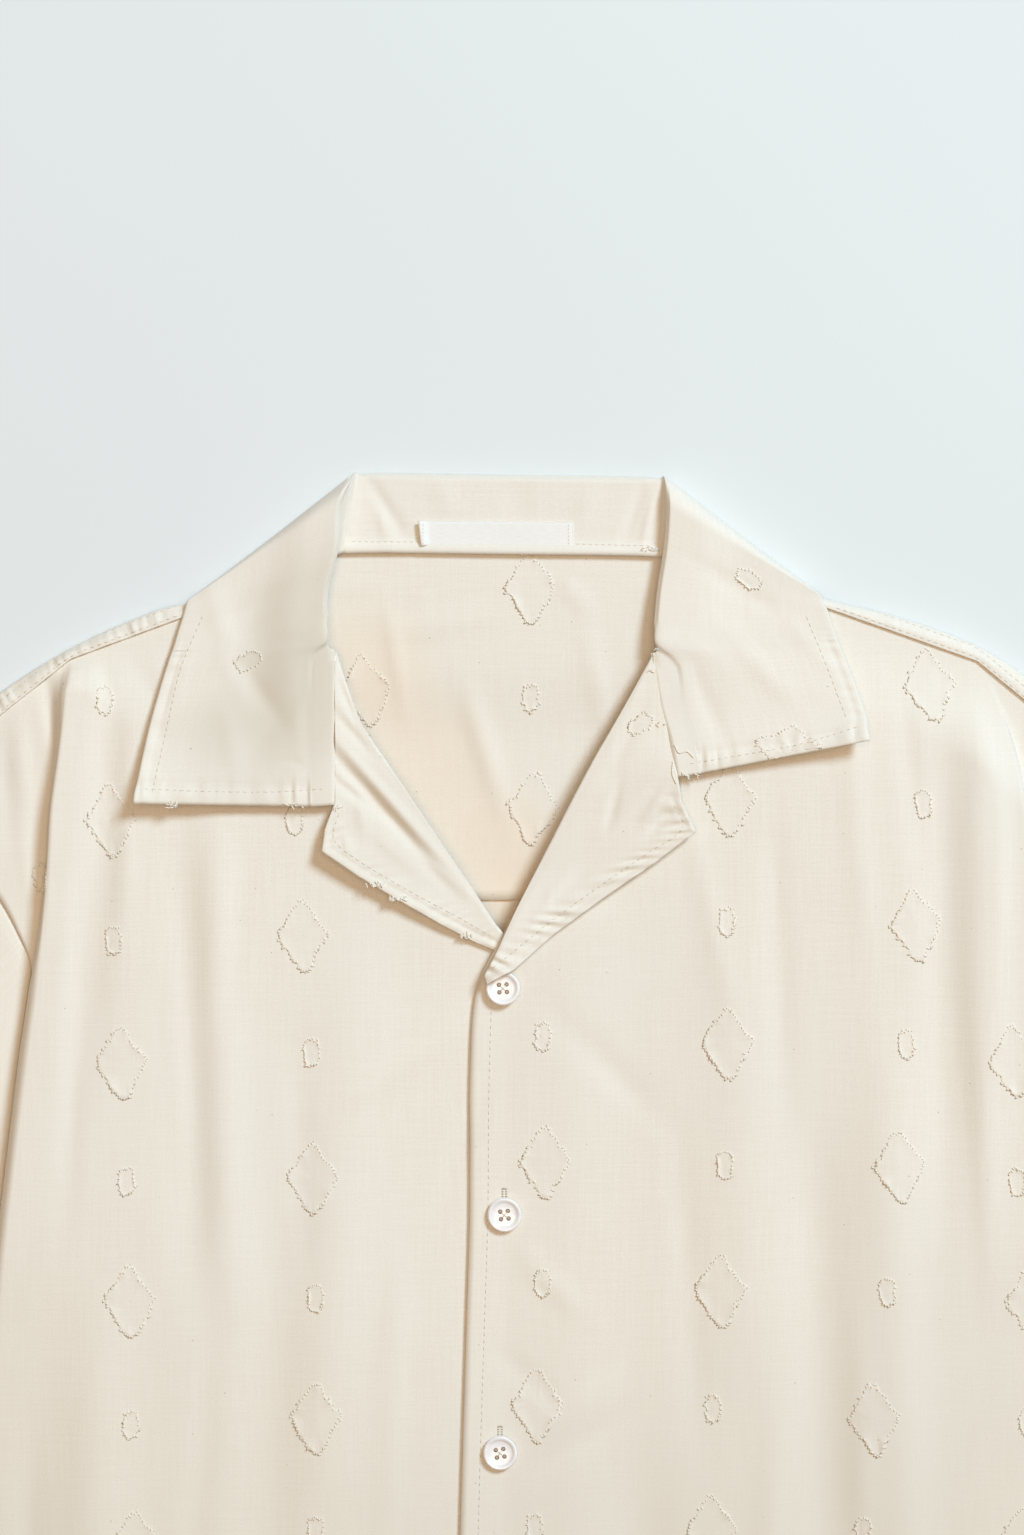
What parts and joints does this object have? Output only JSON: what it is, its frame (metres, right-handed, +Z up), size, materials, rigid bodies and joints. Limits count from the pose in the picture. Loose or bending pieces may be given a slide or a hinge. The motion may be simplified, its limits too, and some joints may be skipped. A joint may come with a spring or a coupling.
{
  "type": "camp collar jacquard shirt",
  "caption": "Short-sleeved camp collar shirt in cream jacquard cotton, buttoned and laid flat on its back, with turned lapels and a blank neck label.",
  "frame": {"origin": "centre of the laid-out shirt's footprint, on the surface that it lies on", "axes": "+Z up from the surface, +Y towards the collar, +X towards the wearer's left sleeve"},
  "size_m": [0.82, 0.7354, 0.0228],
  "materials": {
    "cotton": "matte plain-weave cotton with cut-thread diamonds and ovals",
    "label_tape": "smooth woven tape, blank",
    "button_shell": "pearly, softly polished"
  },
  "bodies": {
    "root": {"back": "cotton", "yoke": "cotton", "front_right": "cotton", "front_left": "cotton", "facing_right": "cotton", "facing_left": "cotton", "collar": "cotton", "sleeve_right": "cotton", "sleeve_left": "cotton", "label": "label_tape", "button_1": "button_shell", "button_2": "button_shell", "button_3": "button_shell", "button_4": "button_shell", "button_5": "button_shell"}
  },
  "joints": []
}
